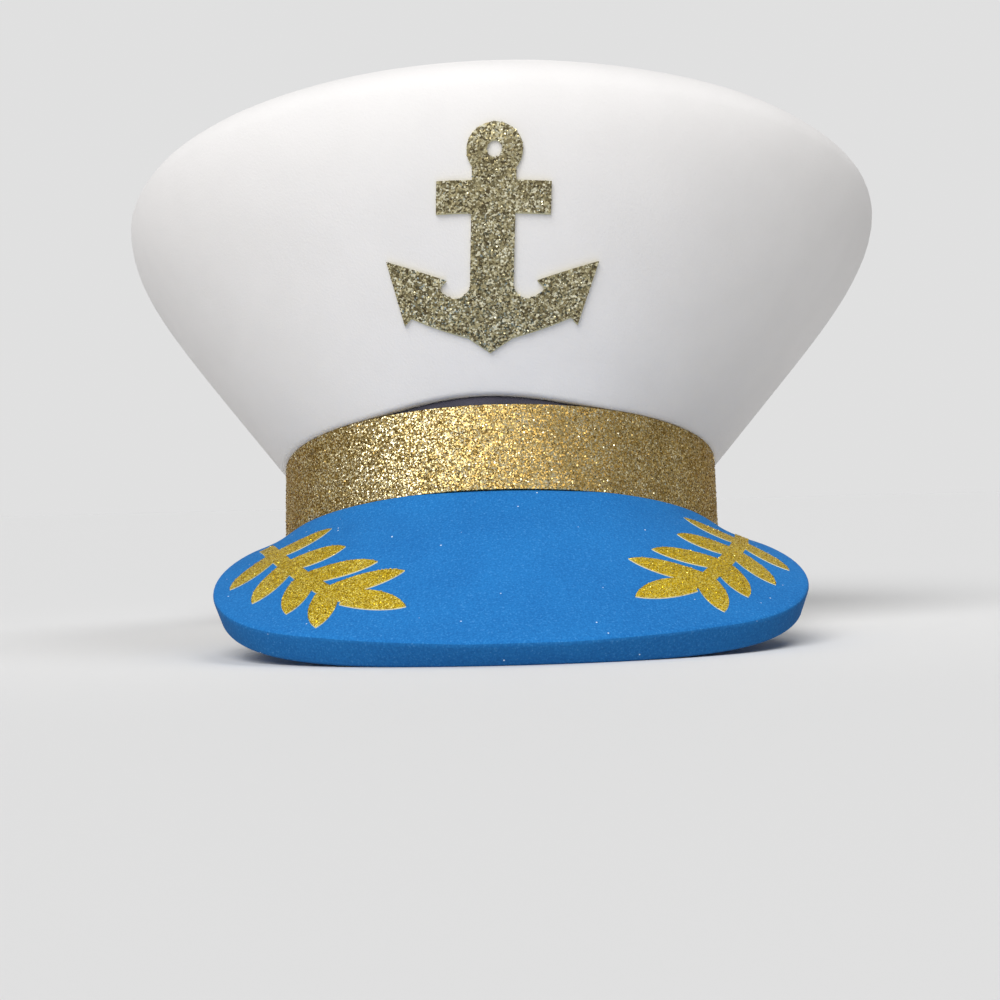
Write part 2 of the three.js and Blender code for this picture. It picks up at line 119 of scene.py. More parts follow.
def drawn_round(name, outline, lean=lambda z: 0.0, closed=True):
    """A wall drawn round the hat's axis ring by ring. Each outline point is (half width, half depth, height)."""
    bpy.ops.object.select_all(action="DESELECT")
    first = outline[0]
    bpy.ops.mesh.primitive_circle_add(vertices=ROUND_STEPS, radius=1, location=(lean(first.z), 0, first.z))
    piece = bpy.context.active_object
    piece.name = piece.data.name = name
    piece.scale = (first.x, first.y, 1)
    bpy.ops.object.transform_apply(location=True, rotation=True, scale=True)
    bpy.ops.object.mode_set(mode="EDIT")
    bpy.ops.mesh.select_all(action="SELECT")
    for last, ring in zip(outline, outline[1:]):
        step = (lean(ring.z) - lean(last.z), 0, ring.z - last.z)
        bpy.ops.mesh.extrude_edges_move(TRANSFORM_OT_translate={"value": step})
        bpy.ops.transform.resize(
            value=(ring.x / last.x, ring.y / last.y, 1), center_override=(lean(ring.z), 0, ring.z)
        )
    bpy.ops.mesh.select_all(action="DESELECT")
    bpy.ops.mesh.select_mode(type="EDGE")
    bpy.ops.mesh.select_non_manifold()
    if closed:
        bpy.ops.mesh.bridge_edge_loops()
    else:
        bpy.ops.mesh.fill_holes(sides=0)
    bpy.ops.mesh.select_all(action="SELECT")
    bpy.ops.mesh.normals_make_consistent(inside=False)
    bpy.ops.object.mode_set(mode="OBJECT")
    return piece


def laid_down(piece, material, node):
    """The level piece is tipped into place, takes its finish and its node's place, and rides on the hat."""
    piece.data.transform(lying)
    piece.data.update()
    if not piece.data.materials:
        piece.data.materials.append(material)
    bpy.ops.object.select_all(action="DESELECT")
    piece.select_set(True)
    bpy.context.view_layer.objects.active = piece
    bpy.ops.object.shade_smooth_by_angle(angle=SHARP_TURN)
    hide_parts(node)
    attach(piece, "root")


def colour(hexadecimal):
    """An sRGB hex colour as linear light."""
    channels = [int(hexadecimal[i:i + 2], 16) / 255 for i in (1, 3, 5)]
    return tuple(c / 12.92 if c <= 0.04045 else ((c + 0.055) / 1.055) ** 2.4 for c in channels) + (1,)


def add_node(material, kind, links=None, **settings):
    """A node with its settings, and its inputs linked from sockets or set to values."""
    node = material.node_tree.nodes.new("ShaderNode" + kind)
    for key, value in settings.items():
        setattr(node, key, value)
    for socket, value in (links or {}).items():
        if isinstance(value, bpy.types.NodeSocket):
            material.node_tree.links.new(value, node.inputs[socket])
        else:
            node.inputs[socket].default_value = value
    return node


def new_material(name, **constants):
    """A material and its shader, with some of the shader's inputs set."""
    material = bpy.data.materials.new(name)
    material.use_nodes = True
    shader = material.node_tree.nodes["Principled BSDF"]
    for socket, value in constants.items():
        shader.inputs[socket.replace("_", " ")].default_value = value
    return material, shader


def place_on(material):
    """The socket that gives a place on the piece."""
    return add_node(material, "TexCoord").outputs["Object"]


def ramp(material, factor, stops):
    """Colours at shares of a factor."""
    node = add_node(material, "ValToRGB", {"Fac": factor})
    elements = node.color_ramp.elements
    for element, (share, tone) in zip(elements, stops):
        element.position, element.color = share, tone
    for share, tone in stops[2:]:
        elements.new(share).color = tone
    return node.outputs["Color"]


def foam_material(name, light, dark, pore_depth):
    """Soft open foam: faint cloudy tone, and fine pores of about a millimetre. Gives the tone's socket too."""
    material, shader = new_material(name, Roughness=0.92, Specular_IOR_Level=0.2)
    where = place_on(material)
    clouds = add_node(material, "TexNoise", {"Vector": where, "Scale": CLOUD_SCALE, "Detail": 4})
    tone = ramp(material, clouds.outputs["Fac"], [(0.3, colour(dark)), (0.7, colour(light))])
    material.node_tree.links.new(tone, shader.inputs["Base Color"])
    pores = add_node(material, "TexNoise", {"Vector": where, "Scale": PORE_SCALE, "Detail": 3, "Roughness": 0.6})
    bump = add_node(material, "Bump", {"Height": pores.outputs["Fac"], "Strength": 0.6, "Distance": pore_depth})
    material.node_tree.links.new(bump.outputs["Normal"], shader.inputs["Normal"])
    return material, tone


navy_foam = foam_material("navy foam", "#504E5A", "#3C3B46", NAVY_PORES)[0]
ring_outside = wider(HEAD_HALF, FOAM)
ring_rows = [BAND_TOP * share for share in RING_ROWS]
ring_outline = [Vector((*ring_outside, z)) for z in ring_rows] + [Vector((*HEAD_HALF, z)) for z in ring_rows[::-1]]
head_ring = drawn_round("navy_head_ring", softened(ring_outline, RING_CORNER))
for vertex in head_ring.data.vertices:
    if vertex.co.z > BAND_TOP * RING_TOP_SHARE:
        vertex.co.z += brow_rise(vertex.co.x, vertex.co.y)
laid_down(head_ring, navy_foam, "head_ring")

# Gold band: a strip of coarse champagne-gold glitter foam, 2 mm thick, glued round the ring. The glitter is a bed
# of small plates, with the larger ones standing at odd angles.
BAND_FOAM = 0.002
BAND_ROWS = (0, 0.25, 0.5, 0.75, 1)
BAND_CORNER = 0.0004
BAND_GRAIN = 0.00055
BAND_PLATES = 18000
BAND_PLATE_SIZE = 0.00033
BAND_SEED = 11
THIN_FACE = 1e-6
DRIFT_SCALE = 60
DRIFT_SHARE = 0.35
DARKEST, LIGHTEST = 0.17, 1.17
PLATE_LEAN = 0.3
PLATE_SIZES = (0.6, 1.25)
PLATE_LIFTS = (0.00008, 0.00022)
PLATE_CORNERS = 6


def glitter_material(name, tones, grain, metal, tilt):
    """A bed of tiny metal plates: each cell has its own tone and its own tilt."""
    material, shader = new_material(name, Metallic=metal, Roughness=0.4, Specular_Tint=colour("#8C6A30"))
    where = place_on(material)
    cells = add_node(material, "TexVoronoi", {"Vector": where, "Scale": 1 / grain})
    shade = add_node(material, "SeparateColor", {"Color": cells.outputs["Color"]})
    drift = add_node(material, "TexNoise", {"Vector": where, "Scale": DRIFT_SCALE, "Detail": 2})
    mixed = add_node(
        material, "Math", {0: drift.outputs["Fac"], 1: DRIFT_SHARE, 2: shade.outputs["Red"]}, operation="MULTIPLY_ADD"
    )
    factor = add_node(material, "MapRange", {"Value": mixed.outputs[0], "From Min": DARKEST, "From Max": LIGHTEST})
    stops = [(i / (len(tones) - 1), colour(tone)) for i, tone in enumerate(tones)]
    material.node_tree.links.new(ramp(material, factor.outputs[0], stops), shader.inputs["Base Color"])
    centred = add_node(material, "VectorMath", {0: cells.outputs["Color"], 1: (0.5, 0.5, 0.5)}, operation="SUBTRACT")
    lean = add_node(material, "VectorMath", {0: centred.outputs[0], "Scale": tilt}, operation="SCALE")
    upright = add_node(material, "NewGeometry").outputs["Normal"]
    tipped = add_node(material, "VectorMath", {0: upright, 1: lean.outputs[0]}, operation="ADD")
    normal = add_node(material, "VectorMath", {0: tipped.outputs[0]}, operation="NORMALIZE")
    material.node_tree.links.new(normal.outputs[0], shader.inputs["Normal"])
    return material


def flake_material(name, tones):
    """The larger plates take their tone from their own attribute."""
    material, shader = new_material(name, Metallic=0.9, Roughness=0.3)
    tone = add_node(material, "Attribute", attribute_name="flake_tone")
    stops = [(i / (len(tones) - 1), colour(t)) for i, t in enumerate(tones)]
    material.node_tree.links.new(ramp(material, tone.outputs["Fac"], stops), shader.inputs["Base Color"])
    return material


def glitter_on(piece, name, count, size, faces, material, seed):
    """Six-sided plates strewn over some faces of a piece, a hair above them and each at its own angle."""
    draw = random.Random(seed)
    mesh = piece.data
    areas = [mesh.polygons[i].area for i in faces]
    points, plates, tones = [], [], []
    for index in draw.choices(faces, weights=areas, k=count):
        face = mesh.polygons[index]
        corners = [mesh.vertices[i].co for i in face.vertices]
        k = draw.randrange(1, len(corners) - 1)
        u, v = draw.random(), draw.random()
        if u + v > 1:
            u, v = 1 - u, 1 - v
        spot = corners[0] + (corners[k] - corners[0]) * u + (corners[k + 1] - corners[0]) * v
        wobble = Vector([draw.gauss(0, PLATE_LEAN) for _ in range(3)])
        facing = (face.normal + wobble).normalized()
        across = facing.orthogonal().normalized()
        along = facing.cross(across)
        radius = size * draw.uniform(*PLATE_SIZES)
        turn = draw.uniform(0, math.tau)
        centre = spot + face.normal * draw.uniform(*PLATE_LIFTS)
        plates.append(range(len(points), len(points) + PLATE_CORNERS))
        for corner in range(PLATE_CORNERS):
            angle = turn + corner * math.tau / PLATE_CORNERS
            points.append(centre + (across * math.cos(angle) + along * math.sin(angle)) * radius)
        tones.append(draw.random())
    flakes = bpy.data.meshes.new(name)
    flakes.from_pydata(points, [], plates)
    attribute = flakes.attributes.new("flake_tone", "FLOAT", "FACE")
    attribute.data.foreach_set("value", tones)
    strewn = bpy.data.objects.new(name, flakes)
    bpy.context.scene.collection.objects.link(strewn)
    flakes.materials.append(material)
    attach(strewn, "root")


BAND_TONES = ("#846631", "#A68849", "#C4A869", "#E2CC8C", "#FFF8D8")
band_glitter = glitter_material("champagne gold glitter", BAND_TONES, BAND_GRAIN, metal=0.92, tilt=0.95)
band_flakes = flake_material("champagne gold plates", BAND_TONES)

band_inside = wider(ring_outside, GLUE_GAP)
band_outside = wider(band_inside, BAND_FOAM)
band_rows = [BAND_LIFT + (BAND_TOP - BAND_LIFT) * share for share in BAND_ROWS]
band_outline = [Vector((*band_outside, z)) for z in band_rows] + [Vector((*band_inside, z)) for z in band_rows[::-1]]
gold_band = drawn_round("gold_glitter_band", softened(band_outline, BAND_CORNER))
laid_down(gold_band, band_glitter, "gold_band")
band_middle = lying @ Vector((0, 0, BAND_TOP / 2))
band_face = [
    face.index
    for face in gold_band.data.polygons
    if face.normal.dot(face.center - band_middle) > 0 and face.area > THIN_FACE
]
glitter_on(
    gold_band, "gold_band_plates", BAND_PLATES, BAND_PLATE_SIZE, band_face, band_flakes, BAND_SEED
)

# Crown side: a wall of half-inch white foam, cut as a curved strip and glued into a cone. It flares out from the
# band to its widest, and rolls over to the seam with the top. The soft foam leans a little and is never quite even.
CROWN_OVERHANG = 0.001
CROWN_HALF = 0.186
FLARE_HEIGHT = 0.1184
FLARE_SPRING = 1.21
FLARE_CURL = FLARE_SPRING / (FLARE_SPRING - 1)
ROLL_WIDTH = 0.070
ROLL_HEIGHT = 0.030
TOP_SEAM = 1 + 35 / 90
DOME_RISE = 0.004
CROWN_LEAN = 0.0037
CROWN_FOOT = BAND_TOP + GLUE_GAP
WIDEST = CROWN_FOOT + FLARE_HEIGHT
SEAM_HALF_GAP = 0.002
CROWN_CORNER = 0.0024
WALL_STEPS = 24
ROLL_STEPS = 8
UNEVEN = 0.0005
BROAD_WAVES = 16
SMALL_WAVES = 41
UPWARD_WAVES = 14
WHITE_PORES = 0.00022
crown_foot_half = wider(band_outside, CROWN_OVERHANG)


def crown_lean(z):
    """How far the crown stands aside at a height."""
    return CROWN_LEAN * min(max((z - CROWN_FOOT) / FLARE_HEIGHT, 0), 1)


def crown_skin(station):
    """Station 0 to 1 is the flaring wall, 1 to 2 the roll and 2 to 3 the top: (half width, half depth, height)."""
    if station <= 1:
        out = FLARE_SPRING * station - (FLARE_SPRING - 1) * station ** FLARE_CURL
        halves = [foot + (CROWN_HALF - foot) * out for foot in crown_foot_half]
        return Vector((*halves, CROWN_FOOT + FLARE_HEIGHT * station))
    if station <= 2:
        angle = (station - 1) * math.pi / 2
        reach = CROWN_HALF - ROLL_WIDTH * (1 - math.cos(angle))
        return Vector((reach, reach, WIDEST + ROLL_HEIGHT * math.sin(angle)))
    reach = (CROWN_HALF - ROLL_WIDTH) * (3 - station)
    return Vector((reach, reach, WIDEST + ROLL_HEIGHT + DOME_RISE * (1 - (3 - station) ** 2) ** 2))


def crown_point(station, depth):
    """Under the skin: level with it on the wall, and square to it from the roll on."""
    skin = crown_skin(station)
    step = 1e-4
    low = min(station, 3 - step)
    if station <= 1:
        low = max(station - step, 0)
    along = crown_skin(low + step) - crown_skin(low)
    point = skin.copy()
    for axis in (0, 1):
        slope = Vector((along[axis], along.z)).normalized()
        point[axis] -= depth / slope.y if station <= 1 else depth * slope.y
    if station > 1:
        point.z += depth * Vector((along.x, along.z)).normalized().x
    return point


def uneven(piece):
    """The foam's slow waves, which fade out towards the band."""
    for vertex in piece.data.vertices:
        p = vertex.co
        share = min(max((p.z - CROWN_FOOT) / FLARE_HEIGHT, 0), 1)
        wave = noise.noise(p * BROAD_WAVES) + 0.4 * noise.noise(p * SMALL_WAVES)
        outward = Vector((p.x, p.y, 0)).normalized()
        vertex.co = p + outward * UNEVEN * share * wave
        lift = UNEVEN * 0.7 * share * noise.noise(p * UPWARD_WAVES)
        vertex.co.z += brow_rise(p.x, p.y) * (1 - share) ** 2 + lift


white_foam = foam_material("white foam", "#E8E6E5", "#E5E3E2", WHITE_PORES)[0]
side_stations = [i / WALL_STEPS for i in range(WALL_STEPS + 1)]
side_stations += [1 + (TOP_SEAM - SEAM_HALF_GAP - 1) * i / ROLL_STEPS for i in range(1, ROLL_STEPS + 1)]
side_outline = [crown_point(station, 0) for station in side_stations]
side_outline += [crown_point(station, FOAM) for station in side_stations[::-1]]
crown_side = drawn_round("white_crown_side", softened(side_outline, CROWN_CORNER), lean=crown_lean)
uneven(crown_side)
laid_down(crown_side, white_foam, "crown_side")

# Crown top: a round of the same white foam, glued edge to edge to the side on the roll, which leaves a soft crease.
# It swells to a low dome.
TOP_ROLL_STEPS = 10
DOME_STEPS = 14
DOME_MIDDLE = 2.985
top_edge = TOP_SEAM + SEAM_HALF_GAP
top_stations = [top_edge + (2 - top_edge) * i / TOP_ROLL_STEPS for i in range(TOP_ROLL_STEPS + 1)]
top_stations += [2 + i / DOME_STEPS for i in range(1, DOME_STEPS)] + [DOME_MIDDLE]
top_outline = [crown_point(station, 0) for station in top_stations[::-1]]
top_outline += [crown_point(station, FOAM) for station in top_stations]
crown_top = drawn_round(
    "white_crown_top", softened(top_outline, CROWN_CORNER, closed=False), lean=crown_lean, closed=False
)
uneven(crown_top)
laid_down(crown_top, white_foam, "crown_top")

# Visor: a crescent of half-inch bright blue foam, glued to the ring under the band, where it swells against the
# band's lower edge. It slopes down steeply in front and lies flatter at the temples. Its pale specks are painted
# glints.
VISOR_LENGTH = 0.1037
HORN_LENGTH = 0.011
VISOR_SPREAD = math.radians(78)
VISOR_TURN = math.radians(2)
VISOR_FAN = 0.7
VISOR_BLUNTNESS = 6
VISOR_TAPER = 1.57
VISOR_SLOPE = math.radians(48.8)
TEMPLE_SLOPE = math.radians(20.3)
TEMPLE_EASE = 2.25
VISOR_DROOP = math.radians(1)
VISOR_EDGE = 0.0024
VISOR_UNDERCUT = 0.0065
SWELL_REACH = 0.007
SWELL_LEAST = 0.4
SWELL_TURN = math.radians(24)
CUT_SLANT = 0.0038
SLANT_FROM, SLANT_FULL_AFTER = 0.1, 0.3
SLANT_TO, SLANT_FADE = 0.95, 0.25
EDGE_STEPS = 6
NEAR_ROWS = 12
NEAR_CROWDING = 1.4
FAR_ROWS = 18
UNDER_ROWS = 12
VISOR_STEPS = 120
VISOR_TOP_ROWS = 1 + NEAR_ROWS + FAR_ROWS
# Painted shade: these rows of the visor's cut edge are coloured darker than the rest, for the shade they lie in; the
# real cut foam is the same blue.
SHADED_EDGE_ROWS = (3, 12)
EDGE_PAINTED_SHADE = 0.72
BLUE_PORES = 0.0003
GRAIN_SCALE = 1100
# Painted glints: pale specks in the visor's colour stand in for sparkle.
GLINT_SCALE = 240
GLINT_EDGE = (0.1, 0.06)
GLINT_FEWER = 0.8


class VisorLine:
    """One straight line down the visor from the ring, at some turn from its middle."""

    def __init__(self, turn):
        share = min(abs(turn) / VISOR_SPREAD, 1)
        body = (1 - share ** VISOR_BLUNTNESS) ** VISOR_TAPER
        self.length = HORN_LENGTH + (VISOR_LENGTH - HORN_LENGTH) * body
        self.undercut = VISOR_UNDERCUT * share ** 2 * body
        steepness = VISOR_SLOPE + (TEMPLE_SLOPE - VISOR_SLOPE) * share ** TEMPLE_EASE
        self.slope = steepness - VISOR_DROOP * math.sin(turn)
        heading = VISOR_FAN * turn + VISOR_TURN
        around = turn + VISOR_TURN
        self.root = Vector((
            band_inside[0] * math.sin(around), -band_inside[1] * math.cos(around), BAND_LIFT - GLUE_GAP
        ))
        away = Vector((math.sin(heading), -math.cos(heading), 0))
        self.down = away * math.cos(self.slope) - Vector((0, 0, math.sin(self.slope)))
        self.up = away * math.sin(self.slope) + Vector((0, 0, math.cos(self.slope)))

    def at(self, along, depth):
        """A place some way down the line and under the visor's top."""
        return self.root + self.down * along - self.up * depth


def visor_outline(turn):
    """The closed outline of the sheet along one line: top, soft edge, underside."""
    line = VisorLine(turn)
    side = abs(turn) / VISOR_SPREAD
    slant = CUT_SLANT * min(max((side - SLANT_FROM) / SLANT_FULL_AFTER, 0), 1)
    slant *= min(max((SLANT_TO - side) / SLANT_FADE, 0), 1)
    flat = line.length - VISOR_EDGE - slant
    under = line.length - line.undercut - VISOR_EDGE
    quarter = [math.pi / 2 * i / EDGE_STEPS for i in range(EDGE_STEPS + 1)]
    band_edge = BAND_FOAM * math.cos(line.slope)
    near = min(4 * SWELL_REACH, flat * 0.6)
    crowded = [(i / NEAR_ROWS) ** NEAR_CROWDING for i in range(1, NEAR_ROWS + 1)]
    rows = [0, band_edge] + [band_edge + (near - band_edge) * share for share in crowded]
    rows += [near + (flat - near) * i / FAR_ROWS for i in range(1, FAR_ROWS)]
    held = SWELL_LEAST + (1 - SWELL_LEAST) * min(abs(turn) / SWELL_TURN, 1) ** 2
    top = []
    for along in rows:
        lift = (GLUE_GAP + min(along, band_edge) * math.sin(line.slope)) / math.cos(line.slope)
        fade = math.exp(-(max(along - band_edge, 0) / SWELL_REACH) ** 2)
        top.append(line.at(along, -held * lift * fade))
    shoulder = [line.at(flat + VISOR_EDGE * math.sin(a), VISOR_EDGE * (1 - math.cos(a))) for a in quarter]
    heel = [line.at(under + VISOR_EDGE * math.cos(a), FOAM - VISOR_EDGE * (1 - math.sin(a))) for a in quarter]
    under_root = line.root - Vector((0, 0, FOAM / math.cos(line.slope)))
    bottom = [line.at(under, FOAM).lerp(under_root, i / UNDER_ROWS) for i in range(1, UNDER_ROWS + 1)]
    return top + shoulder + heel + bottom + [top[0]]


def moved_grid(name, across, along, point):
    """A grid primitive whose points are moved: point takes two shares, across and along."""
    bpy.ops.object.select_all(action="DESELECT")
    bpy.ops.mesh.primitive_grid_add(x_subdivisions=across, y_subdivisions=along, size=1, location=(0, 0, 0))
    piece = bpy.context.active_object
    piece.name = piece.data.name = name
    shares = [face.center.y + 0.5 for face in piece.data.polygons]
    piece.data.attributes.new("along", "FLOAT", "FACE").data.foreach_set("value", shares)
    for vertex in piece.data.vertices:
        vertex.co = point(round(vertex.co.x + 0.5, 6), round(vertex.co.y + 0.5, 6))
    return piece


visor_outlines = [visor_outline(VISOR_SPREAD * (2 * i / VISOR_STEPS - 1)) for i in range(VISOR_STEPS + 1)]
visor_rows = len(visor_outlines[0]) - 1
visor = moved_grid(
    "blue_visor",
    VISOR_STEPS,
    visor_rows,
    lambda across, along: visor_outlines[round(across * VISOR_STEPS)][round(along * visor_rows)],
)
bpy.ops.object.mode_set(mode="EDIT")
bpy.ops.mesh.select_all(action="SELECT")
bpy.ops.mesh.remove_doubles(threshold=1e-6)
bpy.ops.mesh.fill_holes(sides=0)
bpy.ops.mesh.normals_make_consistent(inside=False)
bpy.ops.object.mode_set(mode="OBJECT")

blue_foam, tone = foam_material("blue foam", "#2175BB", "#1B69AE", BLUE_PORES)
where = place_on(blue_foam)
grain = add_node(blue_foam, "TexNoise", {"Vector": where, "Scale": GRAIN_SCALE, "Detail": 2, "Roughness": 0.7})
grain_tone = ramp(
    blue_foam, grain.outputs["Fac"], [(0.35, colour("#1560A6")), (0.6, colour("#2680C8")), (0.78, colour("#6AA6DC"))]
)
grained = add_node(blue_foam, "Mix", {0: 0.5, 6: tone, 7: grain_tone}, data_type="RGBA")
# Painted glints: a few pale specks are mixed into the base colour.
glint_cells = add_node(blue_foam, "TexVoronoi", {"Vector": where, "Scale": GLINT_SCALE})
glint_size = add_node(
    blue_foam,
    "MapRange",
    {"Value": glint_cells.outputs["Distance"], "From Min": GLINT_EDGE[0], "From Max": GLINT_EDGE[1]},
)
glint_draw = add_node(blue_foam, "SeparateColor", {"Color": glint_cells.outputs["Color"]})
glint_few = add_node(blue_foam, "Math", {0: glint_draw.outputs["Red"], 1: GLINT_FEWER}, operation="GREATER_THAN")
painted_glint = add_node(blue_foam, "Math", {0: glint_size.outputs[0], 1: glint_few.outputs[0]}, operation="MULTIPLY")
glinted = add_node(
    blue_foam, "Mix", {0: painted_glint.outputs[0], 6: grained.outputs[2], 7: colour("#D8E9F8")}, data_type="RGBA"
)
blue_foam.node_tree.links.new(glinted.outputs[2], blue_foam.node_tree.nodes["Principled BSDF"].inputs["Base Color"])
# The cut edge's material: the blue foam's colours darkened as painted shade.
shaded_edge_blue_foam = blue_foam.copy()
shaded_edge_blue_foam.name = "blue foam edge painted shade"
for node in shaded_edge_blue_foam.node_tree.nodes:
    if node.bl_idname == "ShaderNodeValToRGB":
        for element in node.color_ramp.elements:
            element.color = (*(channel * EDGE_PAINTED_SHADE for channel in element.color[:3]), 1)
visor.data.materials.append(blue_foam)
visor.data.materials.append(shaded_edge_blue_foam)
shade_from, shade_to = ((VISOR_TOP_ROWS + row) / visor_rows for row in SHADED_EDGE_ROWS)
for face, share in zip(visor.data.polygons, visor.data.attributes["along"].data):
    face.material_index = 1 if shade_from < share.value < shade_to else 0
laid_down(visor, blue_foam, "visor")

# Anchor: one piece cut from thin old-gold glitter foam, with an eye, a stock, a shank and two flukes, glued on the
# crown's front and bent with it.
TRIM_FOAM = 0.0013
ANCHOR_WIDTH = 0.0912
ANCHOR_HEIGHT = 0.0833
ANCHOR_FOOT = 0.0737
ANCHOR_OFFSET = -0.0027
ANCHOR_TURN = math.radians(1.4)
SHANK_WIDTH = 0.0186
STOCK_WIDTH = 0.0486
STOCK_HEIGHT = 0.0116
STOCK_DROP = 0.0214
EYE_WIDTH = 0.0236
EYE_HEIGHT = 0.0204
EYE_DROP = 0.010
EYE_HOLE = 0.0068
EYE_STEPS = 20
HOLE_STEPS = 24
BOW_STEPS = 10
CROWN_FRONT = math.radians(40)
CUT_FACING = 0.3
OLD_GOLD_GRAIN = 0.0008
BARE_PORES = 0.0001
ANCHOR_PLATES = 2600
ANCHOR_PLATE_SIZE = 0.00036
ANCHOR_SEED = 12
ARM = {
    "keel": (0.213, 0.066),
    "belly": (0.5, 0.104),
    "lower notch": (0.757, 0.166),
    "lower barb": (0.822, 0.136),
    "tip": (1, 0.417),
    "inner barb": (0.428, 0.316),
    "inner notch": (0.504, 0.283),
    "trough": (0.33, 0.19),
    "root": (SHANK_WIDTH / ANCHOR_WIDTH, 0.279),
}


def bowed(start, pull, end):
    """A curve from start to end, pulled towards a point between them; it leaves its start out."""
    shares = [i / BOW_STEPS for i in range(1, BOW_STEPS + 1)]
    return [start.lerp(pull, share).lerp(pull.lerp(end, share), share) for share in shares]


def anchor_outline():
    """Right half from keel to eye, then the same back down on the left."""
    corner = {name: Vector((across * ANCHOR_WIDTH / 2, up * ANCHOR_HEIGHT)) for name, (across, up) in ARM.items()}
    stock_low, stock_high = ANCHOR_HEIGHT - STOCK_DROP - STOCK_HEIGHT, ANCHOR_HEIGHT - STOCK_DROP
    eye = Vector((0, ANCHOR_HEIGHT - EYE_DROP))
    half = [corner["keel"], *bowed(corner["keel"], corner["belly"], corner["lower notch"])]
    half += [corner["lower barb"], corner["tip"], corner["inner barb"], corner["inner notch"]]
    half += bowed(corner["inner notch"], corner["trough"], corner["root"])
    half += [Vector((SHANK_WIDTH / 2, stock_low)), Vector((STOCK_WIDTH / 2, stock_low))]
    half += [Vector((STOCK_WIDTH / 2, stock_high)), Vector((SHANK_WIDTH / 2, stock_high))]
    neck = -math.acos(SHANK_WIDTH / EYE_WIDTH)
    angles = [neck + (math.pi / 2 - neck) * i / EYE_STEPS for i in range(EYE_STEPS)]
    half += [eye + Vector((EYE_WIDTH / 2 * math.cos(a), EYE_HEIGHT / 2 * math.sin(a))) for a in angles]
    mirrored = [Vector((-p.x, p.y)) for p in reversed(half)]
    top = eye + Vector((0, EYE_HEIGHT / 2))
    return [Vector((0, 0)), *half, top, *mirrored]


def anchor_place(point):
    """From the flat anchor to the crown's front, turned a little about its middle and leaning with the crown."""
    half = ANCHOR_HEIGHT / 2
    x = point.x * math.cos(ANCHOR_TURN) + (point.y - half) * math.sin(ANCHOR_TURN)
    z = ANCHOR_FOOT + half + (point.y - half) * math.cos(ANCHOR_TURN) - point.x * math.sin(ANCHOR_TURN)
    return Vector((ANCHOR_OFFSET + x + crown_lean(z), 0, z))


def punch(outline, stroke):
    """A cutting die: a flat outline drawn out along a stroke."""
    bpy.ops.object.select_all(action="DESELECT")
    bpy.ops.mesh.primitive_circle_add(vertices=len(outline), radius=0.01, fill_type="NGON", location=(0, 0, 0))
    die = bpy.context.active_object
    for vertex, point in zip(die.data.vertices, outline):
        vertex.co = point
    bpy.ops.object.mode_set(mode="EDIT")
    bpy.ops.mesh.select_all(action="SELECT")
    bpy.ops.mesh.extrude_region_move(TRANSFORM_OT_translate={"value": stroke})
    bpy.ops.mesh.select_all(action="SELECT")
    bpy.ops.mesh.normals_make_consistent(inside=False)
    bpy.ops.object.mode_set(mode="OBJECT")
    return die


def combined(piece, other, operation):
    """Joins, cuts or keeps what two solids share, and removes the second."""
    bpy.context.view_layer.objects.active = piece
    cut = piece.modifiers.new("cut", "BOOLEAN")
    cut.operation, cut.object, cut.solver = operation, other, "EXACT"
    bpy.ops.object.modifier_apply(modifier=cut.name)
    bpy.data.objects.remove(other)


def thickened(sheet, thickness):
    """The sheet's points are its back, and it grows outwards."""
    bpy.context.view_layer.objects.active = sheet
    wall = sheet.modifiers.new("wall", "SOLIDIFY")
    wall.thickness, wall.offset = thickness, 1
    bpy.ops.object.modifier_apply(modifier=wall.name)


def cut_trim(sheet, die, glitter, edge, stroke_axis):
    """The sheet is cut with the die, and its cut edge shows the bare foam."""
    combined(sheet, die, "INTERSECT")
    sheet.data.materials.clear()
    sheet.data.materials.append(glitter)
    sheet.data.materials.append(edge)
    for face in sheet.data.polygons:
        face.material_index = 1 if abs(face.normal[stroke_axis]) < CUT_FACING else 0


def crown_front(across, along):
    """A place on the crown's front, the glue line above its skin."""
    skin = crown_point(along * 0.999, -GLUE_GAP)
    turn = CROWN_FRONT * (2 * across - 1)
    return Vector((skin.x * math.sin(turn) + crown_lean(skin.z), -skin.y * math.cos(turn), skin.z))


OLD_GOLD_TONES = ("#574D3A", "#776D4F", "#988E6B", "#C6BC94", "#FFFBE0")
old_gold = glitter_material("old gold glitter", OLD_GOLD_TONES, OLD_GOLD_GRAIN, metal=0.7, tilt=0.8)
old_gold_flakes = flake_material("old gold plates", OLD_GOLD_TONES)
bare_foam = foam_material("bare foam edge", "#D8D2AE", "#C8C094", BARE_PORES)[0]

anchor = moved_grid("gold_anchor", 60, 48, crown_front)
uneven(anchor)
thickened(anchor, TRIM_FOAM)
anchor_die = punch([anchor_place(p) for p in anchor_outline()], (0, -0.4, 0))
eye = Vector((0, ANCHOR_HEIGHT - EYE_DROP))
angles = [math.tau * i / HOLE_STEPS for i in range(HOLE_STEPS)]
hole = [eye + Vector((math.cos(angle), math.sin(angle))) * EYE_HOLE / 2 for angle in angles]
combined(anchor_die, punch([anchor_place(p) + Vector((0, 0.05, 0)) for p in hole], (0, -0.5, 0)), "DIFFERENCE")
cut_trim(anchor, anchor_die, old_gold, bare_foam, 1)
anchor_front = [f.index for f in anchor.data.polygons if f.material_index == 0 and f.normal.y < 0]
laid_down(anchor, old_gold, "anchor")
glitter_on(
    anchor,
    "anchor_plates",
    ANCHOR_PLATES,
    ANCHOR_PLATE_SIZE,
    anchor_front,
    old_gold_flakes,
    ANCHOR_SEED,
)

